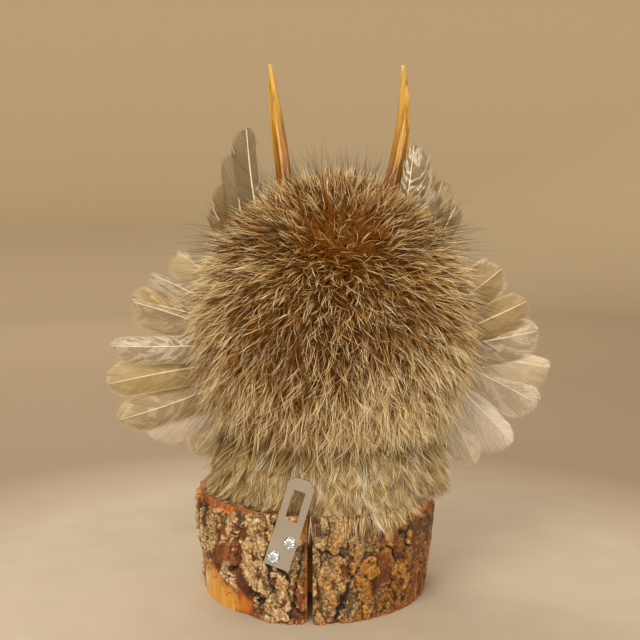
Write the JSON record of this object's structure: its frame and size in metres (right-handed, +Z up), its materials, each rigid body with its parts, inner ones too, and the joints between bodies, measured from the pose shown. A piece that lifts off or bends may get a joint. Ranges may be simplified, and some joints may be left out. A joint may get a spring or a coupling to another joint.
{
  "type": "horned fur and feather figure",
  "caption": "Free-standing furry creature ornament with antler-tine horns, feather ears and side fans, on a bark-edged log slice with a slotted hanger strap.",
  "frame": {"origin": "centre of the log's underside", "axes": "+Z up, the figure's face looks along -Y, +X is the figure's own left, the split and the hanger strap are on the +Y side"},
  "size_m": [0.2808, 0.1664, 0.3163],
  "materials": {
    "log_wood": "satin",
    "bark": "gloss",
    "strap_steel": "satin",
    "screw_steel": "gloss",
    "pin_steel": "satin",
    "dowel_wood": "matte",
    "form_filler": "matte",
    "long_fur": "matte",
    "face_fur": "matte",
    "collar_fur": "matte",
    "horn": "gloss",
    "ear_feather": "satin",
    "fan_feather": "satin",
    "eye_glass": "gloss",
    "beak_horn": "satin"
  },
  "bodies": {
    "root": {"back_pelt": "long_fur", "bark_front": "bark", "bark_left": "bark", "bark_right": "bark", "beak": "beak_horn", "collar_pelt": "collar_fur", "ear_feather_left_1": "ear_feather", "ear_feather_left_2": "ear_feather", "ear_feather_left_3": "ear_feather", "ear_feather_left_4": "ear_feather", "ear_feather_right_1": "ear_feather", "ear_feather_right_2": "ear_feather", "ear_feather_right_3": "ear_feather", "ear_feather_right_4": "ear_feather", "eye_left": "eye_glass", "eye_right": "eye_glass", "eye_wire_left": "pin_steel", "eye_wire_right": "pin_steel", "face_pelt": "face_fur", "fan_feather_left_1": "fan_feather", "fan_feather_left_2": "fan_feather", "fan_feather_left_3": "fan_feather", "fan_feather_left_4": "fan_feather", "fan_feather_left_5": "fan_feather", "fan_feather_left_6": "fan_feather", "fan_feather_left_7": "fan_feather", "fan_feather_left_8": "fan_feather", "fan_feather_left_9": "fan_feather", "fan_feather_right_1": "fan_feather", "fan_feather_right_2": "fan_feather", "fan_feather_right_3": "fan_feather", "fan_feather_right_4": "fan_feather", "fan_feather_right_5": "fan_feather", "fan_feather_right_6": "fan_feather", "fan_feather_right_7": "fan_feather", "hanger_plate": "strap_steel", "hanger_screw_lower": "screw_steel", "hanger_screw_upper": "screw_steel", "head_form": "form_filler", "horn_left": "horn", "horn_pin_left": "pin_steel", "horn_pin_right": "pin_steel", "horn_right": "horn", "log_core": "log_wood", "neck_dowel": "dowel_wood", "neck_form": "form_filler"}
  },
  "joints": []
}
